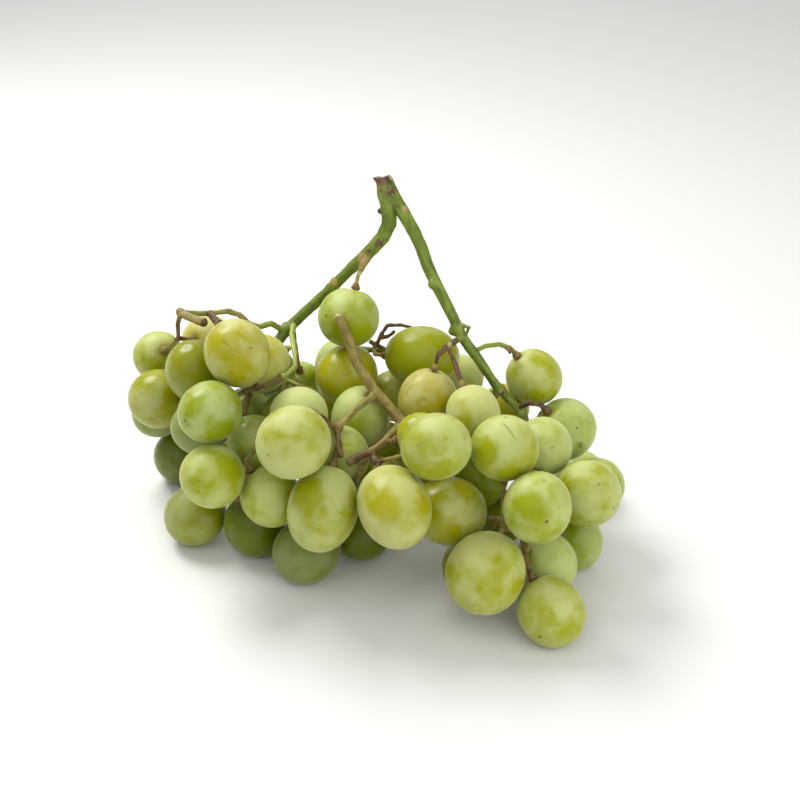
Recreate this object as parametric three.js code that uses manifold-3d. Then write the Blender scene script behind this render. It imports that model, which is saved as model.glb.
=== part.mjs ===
// A bunch of white table grapes that lies on its berries, with its forked stem arching up over them.
// Millimetres. +X runs to the right along the bunch, +Y to its back, +Z up. The bunch rests on z = 0.
import * as THREE from "three";
import { mergeVertices } from "three/addons/utils/BufferGeometryUtils.js";
import Module from "manifold-3d";

// Berries: firm ovals that nearly touch each other.
const BERRY_SIDES = 12;
const BERRY_RINGS = 7;
const BERRY_GAP = 0.3;
const PRESS = 0.7; // how far a berry that carries the bunch flattens on the table

// Wood: the points of a branch are this far apart, and it keeps clear of the berries.
const WOOD_STEP = 5.5;
const WOOD_GAP = 1.3;

// Stalks: one to each berry, with a collar where the berry sits on it.
const STALK_RADIUS = 0.75;
const STALK_SHORTEST = 3.6;
const STALK_LONGEST = 34;
const STALK_PARTS = 3;
const STALK_SIDES = 5;
const COLLAR_RADIUS = 1.7;
const COLLAR_LENGTH = 1.6;
const SEAT_GAP = 0.3;

// How much dearer a millimetre of stalk is where another berry is in its way.
const BLOCKED_COST = 6;

const EASE_ROUNDS = 200;
const BEND_ROUNDS = 60;

// The wood, from the cut crown down. Each branch has its radius at its start and at its end.
const WOOD = [
  { name: "left arm", radii: [3.0, 2.1], sides: 8, route: [
    [5, 49.5, 117], [5.5, 46, 111.5], [7, 44, 105.5], [5.5, 43, 100], [0.5, 42, 94], [-6.5, 42, 87]] },
  { name: "left arm low", radii: [1.9, 1.9], sides: 7, route: [
    [-4, 42, 89.5], [-9, 42, 84.5], [-14.5, 42, 78.5], [-24, 41.5, 69.5], [-30, 39.5, 64], [-34, 36, 60],
    [-37, 32, 55]] },
  { name: "right arm", radii: [2.4, 1.3], sides: 8, route: [
    [5, 49.5, 117], [8.5, 45, 111.5], [12.5, 41, 106], [17, 35.5, 99], [20, 30.5, 92], [24.5, 25, 84.5],
    [28.5, 19, 78.5], [31, 16, 73.5], [35, 14.5, 68.5], [40, 12.5, 61.5], [44.5, 11.5, 55], [49, 11, 50.5],
    [53, 11.5, 45]] },
  { name: "left core", radii: [1.5, 0.9], sides: 6, route: [
    [-37, 32, 55], [-40, 27.5, 49.5], [-45.5, 20, 48], [-48.5, 10, 44.5], [-49, 4, 38], [-48.5, 0, 31.5],
    [-47, -4.5, 26]] },
  { name: "left core front", radii: [0.9, 0.8], sides: 5, route: [
    [-48.5, 2, 34.5], [-47.5, -6, 36], [-43.5, -12, 40], [-40, -13.5, 44.5], [-37, -13, 47.5]] },
  { name: "left core side", radii: [1.1, 0.8], sides: 5, route: [
    [-46.5, 17.5, 47.5], [-53.5, 19, 48], [-59.5, 19.5, 47.5], [-64, 20.5, 45]] },
  { name: "left hook", radii: [1.1, 0.9], sides: 6, route: [
    [-31.5, 39.5, 64.5], [-34.5, 38, 67.5], [-37, 36, 68], [-39.5, 34, 68], [-42, 32, 70], [-44, 30, 73.5],
    [-46.5, 28.5, 77], [-51, 26.5, 77.5], [-57, 25.5, 77.5], [-64.5, 25.5, 78]] },
  { name: "left hook drop", radii: [0.9, 0.8], sides: 5, route: [
    [-64.5, 25.5, 78], [-65.5, 23.5, 74], [-65.5, 23, 69.5]] },
  { name: "left hook stub", radii: [1.2, 1.6], sides: 6, route: [
    [-64.5, 25.5, 77.5], [-60, 21, 78], [-55, 16.5, 78.5]] },
  { name: "left hook bud", radii: [0.9, 1.2], sides: 5, route: [
    [-55, 25.5, 77.5], [-52.5, 22, 77.5], [-50.5, 19, 76.5]] },
  { name: "left drop", radii: [1.1, 0.9], sides: 5, route: [
    [-27.5, 40, 67], [-28, 30, 63], [-28, 20, 62], [-29.5, 12, 60]] },
  { name: "left drop outer", radii: [0.8, 0.8], sides: 5, route: [
    [-29.5, 12, 60], [-36, 6.5, 60.5], [-41.5, 3.5, 59.5]] },
  { name: "left drop lower", radii: [0.8, 0.8], sides: 5, route: [
    [-29.5, 12, 60], [-29, 9.5, 58], [-30, 9, 55.5]] },
  { name: "left drop inner", radii: [0.7, 0.7], sides: 5, route: [
    [-29.5, 12, 60], [-25, 9, 59], [-19.5, 11.5, 55.5], [-15, 11, 51]] },
  { name: "crown twig", radii: [1.7, 0.9], sides: 6, route: [
    [0.5, 42, 94], [-2, 39.5, 90], [-4, 38, 86.5]] },
  { name: "shoulder root", radii: [1.5, 1.8], sides: 6, route: [
    [44.5, 11.5, 55], [36.5, 19, 46.5], [28, 19, 42.5], [21.5, 12.5, 41.5], [16.5, 4.5, 45],
    [11.5, -2, 50]] },
  { name: "snapped shoulder", radii: [1.8, 1.7], sides: 7, route: [
    [11.5, -2, 50], [7.5, 2.5, 53.5], [2.5, 5, 58], [-2, 9, 63], [-5.5, 13.5, 68.5], [-8, 17, 74.5],
    [-10.5, 19.5, 79.5]] },
  { name: "shoulder fork", radii: [1.3, 1.0], sides: 5, route: [
    [2.5, 5, 58], [-1, 1, 57], [-5.5, -4.5, 56], [-8.5, -9, 54], [-10.5, -10.5, 53.5]] },
  { name: "shoulder fork tip", radii: [1.0, 0.8], sides: 5, route: [
    [-10.5, -10.5, 53.5], [-13, -14, 57.5], [-15, -16, 61.5]] },
  { name: "shoulder fork drop", radii: [0.9, 0.9], sides: 5, route: [
    [-10.5, -10.5, 53.5], [-10, -16.5, 51], [-8.5, -20.5, 48.5]] },
  { name: "shoulder low fork", radii: [1.5, 1.1], sides: 6, route: [
    [11.5, -2, 50], [8.5, -4, 49], [5.5, -10, 48], [0.5, -16, 48], [-3.5, -19.5, 48], [-6.5, -21, 46.5]] },
  { name: "shoulder low stub", radii: [1.0, 1.3], sides: 5, route: [
    [1, -15, 47.5], [2, -18, 46.5], [3, -20, 46.5]] },
  { name: "front core", radii: [1.0, 0.8], sides: 5, route: [
    [0.5, -16, 48], [-2.5, -19, 43], [-4, -19.5, 36], [-6.5, -17.5, 27], [-10.5, -17.5, 19.5]] },
  { name: "back lateral", radii: [1.2, 0.9], sides: 5, route: [
    [28, 19, 42.5], [23.5, 25, 45], [19, 34.5, 45], [12, 40.5, 48], [6, 42.5, 53], [1, 42, 56],
    [-4, 41.5, 57.5], [-10, 41.5, 55.5], [-15.5, 41.5, 51.5]] },
  { name: "back lateral twin", radii: [0.9, 0.8], sides: 5, route: [
    [12, 40.5, 48], [6.5, 40.5, 55], [2.5, 39.5, 57.5], [-0.5, 38.5, 60]] },
  { name: "dry spray", radii: [0.8, 0.6], sides: 5, route: [
    [1, 40, 57], [3, 40, 61], [4.5, 40.5, 64], [7, 40.5, 66], [11, 40.5, 65.5], [15.5, 40, 64.5]] },
  { name: "dry spray side", radii: [0.6, 0.8], sides: 5, route: [
    [3, 40, 60.5], [6, 39.5, 61.5], [8.5, 39.5, 63.5]] },
  { name: "dry spray drop", radii: [0.7, 0.9], sides: 5, route: [
    [1.5, 40, 58.5], [1, 37, 57.5], [1.5, 35, 56.5]] },
  { name: "brown fork", radii: [1.0, 0.9], sides: 5, route: [
    [31, 16, 73], [28, 12.5, 73.5], [25.5, 10.5, 72], [23, 10.5, 69.5]] },
  { name: "brown fork tip", radii: [0.8, 0.8], sides: 5, route: [
    [26.5, 12, 72], [28, 9, 69], [29.5, 5.5, 65.5]] },
  { name: "node curl", radii: [0.9, 0.6], sides: 5, route: [
    [29.5, 18.5, 77.5], [32, 17, 79], [33.5, 15, 77.5], [33, 14.5, 74.5], [31.5, 15.5, 72]] },
  { name: "right twig", radii: [0.9, 0.8], sides: 5, route: [
    [35, 14.5, 68.5], [38, 18, 68.5], [42.5, 21, 68], [46.5, 23.5, 66.5], [48.5, 25, 64.5]] },
  { name: "right twig stub", radii: [0.6, 0.7], sides: 5, route: [
    [47, 23.5, 66.5], [47.5, 21, 66], [48, 19.5, 65.5]] },
  { name: "right elbow", radii: [0.9, 0.8], sides: 5, route: [
    [44.5, 11.5, 55], [42.5, 10.5, 53.5], [40.5, 10.5, 51.5]] },
  { name: "right stub", radii: [0.9, 0.8], sides: 5, route: [
    [50.5, 11, 48.5], [53.5, 8.5, 52], [56, 9.5, 51.5], [58.5, 11.5, 49.5]] },
  { name: "right core", radii: [1.3, 1.0], sides: 6, route: [
    [53, 11.5, 45], [56, 12.5, 37.5], [58.5, 9, 31], [60, 3, 26.5], [58.5, -5.5, 23.5], [54, -14.5, 22.5],
    [49.5, -21.5, 22], [49, -28, 21], [50, -36.5, 20.5], [51, -41.5, 20]] },
  { name: "right core side", radii: [1.0, 0.8], sides: 5, route: [
    [59.5, -0.5, 25], [64, -5, 23], [67.5, -8.5, 20.5]] },
  { name: "right core inner", radii: [1.0, 0.8], sides: 5, route: [
    [55, -13, 22.5], [50, -9, 22], [46, -3.5, 21.5]] },
  { name: "right core twig", radii: [0.9, 0.8], sides: 5, route: [
    [49.5, -21.5, 22], [46, -21.5, 24], [42.5, -21, 25]] },
  { name: "right core cap", radii: [0.9, 0.8], sides: 5, route: [
    [49.5, -24, 22], [46.5, -26, 24], [43.5, -28.5, 26]] },
];

// The berries by their part of the bunch: middle, width, and length along the stalk's line. A stalk
// leaves the wood where it can best, or from the branch that is named.
const BERRIES = {
  left: [
    { at: [-77.5, 44.5, 51], width: 18.4, length: 19.5 },
    { at: [-75, 25.5, 44], width: 21, length: 21.6 },
    { at: [-59.5, 16, 60], width: 20.2, length: 22.5 },
    { at: [-57.5, 37.5, 60.5], width: 19, length: 20.5 },
    { at: [-43, 3, 74], width: 21.8, length: 23.2 },
    { at: [-38, 20, 61], width: 20.4, length: 21.5 },
    { at: [-37.5, 41.5, 45.5], width: 19.8, length: 21 },
    { at: [-51, -11.5, 60.5], width: 19.9, length: 21.8 },
    { at: [-57.5, 2.5, 46], width: 18.2, length: 19.5 },
    { at: [-78.5, 41, 27], width: 18.5, length: 19.5 },
    { at: [-72.5, 41, 10.5], width: 21.2, length: 22, carries: true },
    { at: [-50, -22, 42.5], width: 20.8, length: 21.5 },
    { at: [-61.5, 2, 10.5], width: 21.4, length: 23, carries: true },
    { at: [-40, -4.5, 10.5], width: 21, length: 23, carries: true },
    { at: [-32.5, -18.5, 32.5], width: 19.9, length: 21 },
    { at: [-23, -28, 59], width: 22.8, length: 24.6 },
    { at: [-22.5, -6.5, 56], width: 18.6, length: 19.6 },
    { at: [-38.5, -2.5, 43], width: 18.8, length: 19.8 },
    { at: [-44.5, 24.5, 37.5], width: 18.4, length: 19.4 },
    { at: [-29.5, 14, 42.5], width: 18, length: 19.2 },
    { at: [-46.5, 12, 27.5], width: 17, length: 18 },
    { at: [-14, -29.5, 36.5], width: 22.4, length: 28.2, from: "shoulder fork drop" },
    { at: [-21, -19, 12], width: 22.2, length: 24, carries: true },
    { at: [-3, -7, 9.5], width: 20, length: 21, carries: true },
    { at: [8.5, -36.5, 40.5], width: 22.8, length: 28.6 },
    { at: [-9, -9.5, 41.5], width: 19.2, length: 20.4 },
    { at: [-3.5, 9.5, 46], width: 20.4, length: 21.6 },
    { at: [-8.5, 30, 50.5], width: 21.8, length: 23 },
    { at: [-11.5, 50, 44.5], width: 19, length: 20 },
    { at: [-27, 53, 34], width: 17.8, length: 18.8 },
    { at: [-7.5, 31.5, 73], width: 21.6, length: 20.6, from: "crown twig" },
    { at: [8, 37, 38], width: 18.8, length: 20 },
    { at: [17, 8, 25.5], width: 19.2, length: 20 },
    { at: [3, -5, 29], width: 18.6, length: 19.6 },
    { at: [-18, 33, 30.5], width: 18.8, length: 20 },
  ],
  middle: [
    { at: [18, 30, 58.5], width: 21.2, length: 26.8, from: "dry spray drop" },
    { at: [20.5, 6, 54.5], width: 19.8, length: 21.4, from: "brown fork" },
    { at: [34, -6, 56], width: 18, length: 19.4 },
    { at: [31.5, 39, 45], width: 17.2, length: 18.4 },
    { at: [21.5, -30.5, 59], width: 21, length: 22.8 },
    { at: [17, -11.5, 51.5], width: 15, length: 16 },
    { at: [26.5, -24.5, 30.5], width: 22.4, length: 24.6, from: "right core twig" },
    { at: [36.5, -3, 29.5], width: 20, length: 21.6 },
    { at: [45.5, 0.5, 11], width: 19.2, length: 20.4 },
    { at: [5, 24.5, 25.5], width: 17.5, length: 18.5 },
  ],
  right: [
    { at: [43.5, -24, 54], width: 21.8, length: 20.9 },
    { at: [58, -5.5, 43.5], width: 19.6, length: 21 },
    { at: [67.2, 13.5, 39.5], width: 22, length: 20.8 },
    { at: [52.5, -38.5, 43], width: 21.6, length: 23.2 },
    { at: [71.5, -21, 35], width: 21.8, length: 23 },
    { at: [77, -3, 25.5], width: 19.2, length: 19.8 },
    { at: [76.5, 29, 9.5], width: 19.2, length: 20, carries: true },
    { at: [70, -11.5, 10], width: 19.4, length: 20.6, carries: true },
    { at: [58.5, -29, 13], width: 19.8, length: 21.6 },
    { at: [37.5, -45, 21], width: 25.2, length: 27.2 },
    { at: [33.5, -25, 9], width: 18.4, length: 19.4, carries: true },
    { at: [58, -50.5, 10.5], width: 21.4, length: 23, carries: true },
    { at: [57.5, 23.5, 53], width: 19.2, length: 20.2, from: "right twig" },
    { at: [48, 29, 38.5], width: 16.8, length: 18 },
  ],
};

const UP = new THREE.Vector3(0, 0, 1);

// How far a berry reaches from its middle in a direction, to the plane that just touches it there.
function reach(berry, way) {
  const along = way.dot(berry.axis);
  return Math.hypot(berry.width * Math.sqrt(Math.max(0, 1 - along * along)), berry.length * along) / 2;
}

// A branch's route as points about WOOD_STEP apart on a smooth line.
function smoothRoute(route) {
  const curve = new THREE.CatmullRomCurve3(route.map((at) => new THREE.Vector3(...at)), false, "centripetal");
  return curve.getSpacedPoints(Math.max(2, Math.round(curve.getLength() / WOOD_STEP)));
}

// The point of the branches grown so far that is nearest to a place.
function nearestOn(branches, place) {
  const near = branches.flatMap(({ points }) => points.slice(1).map((point, i) => (
    new THREE.Line3(points[i], point).closestPointToPoint(place, true, new THREE.Vector3()))));
  return near.reduce((best, point) => (point.distanceTo(place) < best.distanceTo(place) ? point : best));
}

// Grows the branches in their order, each rooted in those before it and bent clear of the berries.
function growWood(berries) {
  const grown = [];
  for (const branch of WOOD) {
    const points = smoothRoute(branch.route);
    if (grown.length > 0) points[0] = nearestOn(grown, points[0]);
    bendClear(points, Math.max(...branch.radii), berries);
    grown.push({ ...branch, points });
  }
  return grown;
}

// The way out of a berry for a point on a rod, and how far the rod is short of being clear of it.
function shortfall(berry, point, radius) {
  const way = point.clone().sub(berry.middle);
  const distance = way.length();
  way.normalize();
  return { way, lacking: reach(berry, way) + radius + WOOD_GAP - distance };
}

// Bends a rod clear of the berries, its two ends held, and leaves the stretches that none touches.
function bendClear(points, radius, berries) {
  const bent = points.map(() => false);
  for (let round = 0; round < BEND_ROUNDS; round++) {
    for (let i = 1; i < points.length - 1; i++) {
      if (bent[i - 1] || bent[i] || bent[i + 1]) {
        const between = points[i - 1].clone().add(points[i + 1]).multiplyScalar(0.5);
        points[i].lerp(between, 0.25);
      }
      for (const berry of berries) {
        const { way, lacking } = shortfall(berry, points[i], radius);
        if (lacking > 0) {
          points[i].addScaledVector(way, lacking);
          bent[i] = true;
        }
      }
    }
  }
}

// Where a berry's stalk leaves the wood: the near point with the way to the berry most clear.
function stalkStart(berry, berries, wood) {
  let best = null;
  let least = Infinity;
  const near = wood.filter(({ name }) => !berry.from || name === berry.from);
  for (const point of near.flatMap((branch) => branch.points.slice(1))) {
    const way = berry.middle.clone().sub(point);
    const length = way.length() - berry.length / 2;
    if (length < STALK_SHORTEST || length > STALK_LONGEST) continue;
    way.normalize();
    let blocked = 0;
    for (const other of berries) {
      if (other === berry) continue;
      const along = THREE.MathUtils.clamp(other.middle.clone().sub(point).dot(way), 0, length);
      const off = point.clone().addScaledVector(way, along).distanceTo(other.middle);
      blocked += Math.max(0, other.width / 2 + COLLAR_RADIUS - off);
    }
    if (length + BLOCKED_COST * blocked < least) {
      least = length + BLOCKED_COST * blocked;
      best = point;
    }
  }
  return best;
}

// Turns every berry's tip away from where its stalk leaves the wood.
function aimTips(berries, wood) {
  for (const berry of berries) {
    berry.start = stalkStart(berry, berries, wood);
    berry.axis = berry.middle.clone().sub(berry.start).normalize();
  }
}

// Eases the berries out of each other, and sets those that carry the bunch into the table.
function easeApart(berries) {
  for (let round = 0; round < EASE_ROUNDS; round++) {
    for (const [i, one] of berries.entries()) {
      for (const other of berries.slice(i + 1)) {
        const way = one.middle.clone().sub(other.middle);
        const distance = way.length();
        way.normalize();
        const lacking = reach(one, way) + reach(other, way) + BERRY_GAP - distance;
        if (lacking > 0) {
          one.middle.addScaledVector(way, lacking / 2);
          other.middle.addScaledVector(way, -lacking / 2);
        }
      }
    }
    for (const berry of berries.filter(({ carries }) => carries)) {
      berry.middle.z = reach(berry, UP) - PRESS;
    }
  }
}

// A closed geometry that keeps only its places, with shared corners merged.
function merged(geometry) {
  geometry.deleteAttribute("normal");
  geometry.deleteAttribute("uv");
  return mergeVertices(geometry, 1e-4);
}

// A berry about its own middle, with its tip towards its axis.
function berryGeometry({ width, length, axis }) {
  const profile = [];
  for (let ring = 0; ring <= BERRY_RINGS; ring++) {
    const turn = (Math.PI * ring) / BERRY_RINGS;
    const onAxis = ring === 0 || ring === BERRY_RINGS;
    const radius = onAxis ? 0 : (width / 2) * Math.sin(turn);
    profile.push(new THREE.Vector2(radius, (-length / 2) * Math.cos(turn)));
  }
  const turned = new THREE.Quaternion().setFromUnitVectors(new THREE.Vector3(0, 1, 0), axis);
  return merged(new THREE.LatheGeometry(profile, BERRY_SIDES)).applyQuaternion(turned);
}

// A round rod through points, with its radius at each of them: a turned pin, bent to follow them.
function rodGeometry(points, radii, sides) {
  const last = points.length - 1;
  const profile = radii.map((radius, i) => new THREE.Vector2(radius, i));
  const pin = merged(new THREE.LatheGeometry(
    [new THREE.Vector2(0, 0), ...profile, new THREE.Vector2(0, last)], sides));
  const across = new THREE.Vector3(0.31, 0.87, 0.39);
  const frames = points.map((point, i) => {
    const along = points[Math.min(i + 1, last)].clone().sub(points[Math.max(i - 1, 0)]).normalize();
    across.addScaledVector(along, -across.dot(along)).normalize();
    return { point, across: across.clone(), over: across.clone().cross(along) };
  });
  const places = pin.attributes.position;
  for (let i = 0; i < places.count; i++) {
    const frame = frames[Math.round(places.getY(i))];
    const corner = frame.point
      .clone()
      .addScaledVector(frame.across, places.getX(i))
      .addScaledVector(frame.over, places.getZ(i));
    places.setXYZ(i, corner.x, corner.y, corner.z);
  }
  return pin;
}

const wasm = await Module();
wasm.setup();

function solidOf(geometry) {
  return new wasm.Manifold(new wasm.Mesh({
    numProp: 3,
    vertProperties: new Float32Array(geometry.attributes.position.array),
    triVerts: new Uint32Array(geometry.index.array),
  }));
}

function geometryOf(solid) {
  const { vertProperties, triVerts } = solid.getMesh();
  const geometry = new THREE.BufferGeometry();
  geometry.setAttribute("position", new THREE.BufferAttribute(vertProperties, 3));
  geometry.setIndex(new THREE.BufferAttribute(triVerts, 1));
  return geometry;
}

// A branch, its radius running evenly from its start's to its end's.
function branchSolid({ points, radii, sides }) {
  const along = points.map((_, i) => THREE.MathUtils.lerp(radii[0], radii[1], i / (points.length - 1)));
  return solidOf(rodGeometry(points, along, sides));
}

// A berry's stalk, from the wood to its collar just short of the skin.
function stalkSolid(berry, berries) {
  const seat = berry.middle.clone().addScaledVector(berry.axis, -berry.length / 2 - SEAT_GAP);
  const neck = seat.clone().addScaledVector(berry.axis, -COLLAR_LENGTH);
  const points = new THREE.LineCurve3(berry.start, neck).getSpacedPoints(STALK_PARTS);
  bendClear(points, STALK_RADIUS, berries.filter((other) => other !== berry));
  const radii = [...points.map(() => STALK_RADIUS), COLLAR_RADIUS];
  return solidOf(rodGeometry([...points, seat], radii, STALK_SIDES));
}

// All the wood and stalks as the one piece that they grew as.
function buildStem(berries, wood) {
  const rods = [...wood.map(branchSolid), ...berries.map((berry) => stalkSolid(berry, berries))];
  const stem = rods.reduce((grown, rod) => grown.add(rod));
  const mesh = new THREE.Mesh(geometryOf(stem), stemBark);
  mesh.name = "stem";
  return mesh;
}

// A berry where it hangs, flat where it presses on the table.
function buildBerry(berry, table) {
  let flesh = solidOf(berryGeometry(berry).translate(...berry.middle));
  if (berry.carries) flesh = flesh.subtract(table);
  const mesh = new THREE.Mesh(geometryOf(flesh).translate(...berry.middle.clone().negate()), berrySkin);
  mesh.position.copy(berry.middle);
  mesh.name = berry.name;
  return mesh;
}

const berrySkin = new THREE.MeshStandardMaterial({ color: 0xb4b955, roughness: 0.42, metalness: 0 });
const stemBark = new THREE.MeshStandardMaterial({ color: 0x7c8f3f, roughness: 0.65, metalness: 0 });

const berries = Object.entries(BERRIES).flatMap(([part, list]) => list.map((berry, i) => ({
  ...berry,
  name: `berry_${part}_${String(i + 1).padStart(2, "0")}`,
  middle: new THREE.Vector3(...berry.at),
})));
aimTips(berries, WOOD.map(({ name, route }) => ({ name, points: smoothRoute(route) })));
easeApart(berries);
const wood = growWood(berries);
aimTips(berries, wood);

const TABLE_SIZE = 400;
const TABLE_DEPTH = 40;
const table = solidOf(merged(
  new THREE.BoxGeometry(TABLE_SIZE, TABLE_SIZE, TABLE_DEPTH).translate(0, 0, -TABLE_DEPTH / 2)));

const bunch = new THREE.Group();
bunch.add(buildStem(berries, wood), ...berries.map((berry) => buildBerry(berry, table)));

export default bunch;
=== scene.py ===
"""A bunch of white table grapes that lies on a pale table, its forked stem arched above it.

Metres, +Z up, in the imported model's own frame. Each fruit is worked out from the oval of its own
solid, and the stem from its solid, so that every piece is where the frame says.
"""

import logging
import math
from dataclasses import dataclass, field
from enum import Enum
from typing import Any

import bmesh
import bpy
import numpy as np
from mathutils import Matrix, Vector


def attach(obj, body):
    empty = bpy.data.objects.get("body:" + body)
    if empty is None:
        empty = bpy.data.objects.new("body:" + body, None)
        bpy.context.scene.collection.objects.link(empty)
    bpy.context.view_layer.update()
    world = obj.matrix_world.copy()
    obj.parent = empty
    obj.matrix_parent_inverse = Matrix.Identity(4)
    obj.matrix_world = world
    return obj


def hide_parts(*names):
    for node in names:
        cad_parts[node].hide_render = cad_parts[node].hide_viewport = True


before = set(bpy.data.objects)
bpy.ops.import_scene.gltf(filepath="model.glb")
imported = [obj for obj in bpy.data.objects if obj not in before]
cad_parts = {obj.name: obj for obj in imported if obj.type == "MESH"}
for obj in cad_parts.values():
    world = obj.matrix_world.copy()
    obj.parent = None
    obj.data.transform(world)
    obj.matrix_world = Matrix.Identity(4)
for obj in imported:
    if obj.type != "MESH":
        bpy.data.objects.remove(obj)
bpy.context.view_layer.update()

MM = 0.001
BODY = "root"
SEED = 1907

# Where the marks and patches on a berry are seen from, which is the studio camera's place.
VIEWPOINT = np.array([10.3, -376.4, 275.5]) * MM

log = logging.getLogger("grapes")

Grid = np.ndarray
Nodes = bpy.types.NodeTree
Socket = bpy.types.NodeSocket
Faces = list[tuple[int, ...]]
Spot = tuple[float, float, float, float]
Run = tuple[float, ...]


class Slot(Enum):
    """The record's material slots."""

    BERRY = "berry_skin"
    STEM = "stem_bark"


def linear(code: str) -> tuple[float, float, float, float]:
    """Turns an sRGB hex colour into linear light.

    Args:
        code: six hex digits after a hash mark.

    Returns:
        Red, green, blue and a full alpha.
    """
    parts = [int(code[i:i + 2], 16) / 255 for i in (1, 3, 5)]
    low = [c / 12.92 if c <= 0.04045 else ((c + 0.055) / 1.055) ** 2.4 for c in parts]
    return (low[0], low[1], low[2], 1.0)


def add_node(tree: Nodes, kind: str, settings: dict[str, Any] | None = None,
             inputs: dict[Any, Any] | None = None) -> bpy.types.Node:
    """Adds a shader node with its settings and its inputs.

    Args:
        tree: the material's node tree.
        kind: the node's type name.
        settings: attributes of the node itself.
        inputs: for each input, a value or the socket that feeds it.

    Returns:
        The new node.
    """
    node = tree.nodes.new(kind)
    for key, value in (settings or {}).items():
        setattr(node, key, value)
    for key, value in (inputs or {}).items():
        if isinstance(value, Socket):
            tree.links.new(value, node.inputs[key])
        else:
            node.inputs[key].default_value = value
    return node


def blank_material(name: str, numbers: dict[str, Any]) -> tuple[bpy.types.Material, Nodes, bpy.types.Node]:
    """Makes a material with only its shader and its output.

    Args:
        name: the material's name.
        numbers: by the shader's input, what is the same all over.

    Returns:
        The material, its node tree and its Principled shader.
    """
    material = bpy.data.materials.new(name)
    material.use_nodes = True
    tree = material.node_tree
    tree.nodes.clear()
    shader = add_node(tree, "ShaderNodeBsdfPrincipled", inputs=numbers)
    add_node(tree, "ShaderNodeOutputMaterial", inputs={"Surface": shader.outputs["BSDF"]})
    return material, tree, shader


def noise(tree: Nodes, place: Socket, size: float, detail: float = 2.0,
          rough: float = 0.5, bend: float = 0.0) -> Socket:
    """Adds soft noise whose lumps are about one size across.

    Args:
        tree: the material's node tree.
        place: the coordinates that it reads, in metres.
        size: a lump's width in metres.
        detail: how many finer octaves there are.
        rough: how strong the finer octaves are.
        bend: how much the pattern is warped.

    Returns:
        The noise's value.
    """
    made = add_node(tree, "ShaderNodeTexNoise", inputs={
        "Vector": place, "Scale": 1 / size, "Detail": detail, "Roughness": rough, "Distortion": bend})
    return made.outputs["Fac"]


def ramp(tree: Nodes, value: Socket, low: float, high: float,
         start: float = 0.0, end: float = 1.0) -> Socket:
    """Runs a value smoothly from start to end while it goes from low to high.

    Args:
        tree: the material's node tree.
        value: the value.
        low: where the ramp begins.
        high: where it ends.
        start: its result up to low.
        end: its result from high on.

    Returns:
        The ramp's value.
    """
    made = add_node(tree, "ShaderNodeMapRange", {"interpolation_type": "SMOOTHSTEP"}, {
        "Value": value, "From Min": low, "From Max": high, "To Min": start, "To Max": end})
    return made.outputs["Result"]


def blend_colour(tree: Nodes, share: Any, one: Any, other: Any) -> Socket:
    """Mixes two colours.

    Args:
        tree: the material's node tree.
        share: how much of the other shows, a number or a socket.
        one: the colour below.
        other: the colour above.

    Returns:
        The mixed colour.
    """
    made = add_node(tree, "ShaderNodeMix", {"data_type": "RGBA", "clamp_result": True},
                    {0: share, 6: one, 7: other})
    return made.outputs[2]


def math_node(tree: Nodes, operation: str, one: Any, other: Any = 0.0) -> Socket:
    """Adds a node that works out one sum of two values, and gives its result."""
    return add_node(tree, "ShaderNodeMath", {"operation": operation}, {0: one, 1: other}).outputs[0]


def times(tree: Nodes, one: Any, other: Any) -> Socket:
    """Adds a node that multiplies two values, and gives its result."""
    return math_node(tree, "MULTIPLY", one, other)


def read_attribute(tree: Nodes, name: str, output: str = "Fac") -> Socket:
    """Adds a node that reads a number or a vector kept on the mesh, and gives it."""
    return add_node(tree, "ShaderNodeAttribute", {"attribute_name": name}).outputs[output]


def unit(vectors: np.ndarray) -> np.ndarray:
    """Gives vectors a length of one, along the last axis."""
    return vectors / np.maximum(np.linalg.norm(vectors, axis=-1, keepdims=True), 1e-12)


def square_axes(axis: np.ndarray) -> tuple[np.ndarray, np.ndarray]:
    """Finds two directions square to an axis and to each other.

    Args:
        axis: a direction of length one.

    Returns:
        The two directions, so that the first crossed with the second is the axis.
    """
    helper = np.array([1.0, 0.0, 0.0]) if abs(axis[0]) < 0.8 else np.array([0.0, 1.0, 0.0])
    first = unit(np.cross(helper, axis))
    return first, np.cross(axis, first)


def grid_faces(rows: int, columns: int) -> Faces:
    """Lists the faces of a closed grid with a pole at each end.

    The grid's corners are numbered row by row, and its rows close on themselves. The first pole is
    numbered after all rows, and the second after it.

    Args:
        rows: how many rings the grid has.
        columns: how many corners each ring has.

    Returns:
        Each face's corners, facing out where the rows run along the axis and turn right-handed round it.
    """
    index = np.arange(rows * columns).reshape(rows, columns)
    beside = np.roll(index, -1, axis=1)
    quads = np.stack([index[:-1], beside[:-1], beside[1:], index[1:]], axis=-1).reshape(-1, 4)
    first = np.stack([np.full(columns, rows * columns), beside[0], index[0]], axis=-1)
    second = np.stack([np.full(columns, rows * columns + 1), index[-1], beside[-1]], axis=-1)
    return [tuple(face) for face in (*quads.tolist(), *first.tolist(), *second.tolist())]


def keep_numbers(mesh: bpy.types.Mesh, numbers: dict[str, np.ndarray]) -> None:
    """Keeps numbers on a mesh's corners, for its material to read.

    Args:
        mesh: the mesh.
        numbers: by the attribute's name, one value or one vector for each corner.
    """
    for key, values in numbers.items():
        kind, field_name = ("FLOAT", "value") if values.ndim == 1 else ("FLOAT_VECTOR", "vector")
        kept = mesh.attributes.new(key, kind, "POINT")
        kept.data.foreach_set(field_name, values.astype(np.float32).ravel())


def linked(name: str, data: bpy.types.ID) -> bpy.types.Object:
    """Makes an object of its data and links it to the scene.

    Args:
        name: the object's name.
        data: its mesh, lamp or camera.

    Returns:
        The object.
    """
    made = bpy.data.objects.new(name, data)
    bpy.context.scene.collection.objects.link(made)
    return made


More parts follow.
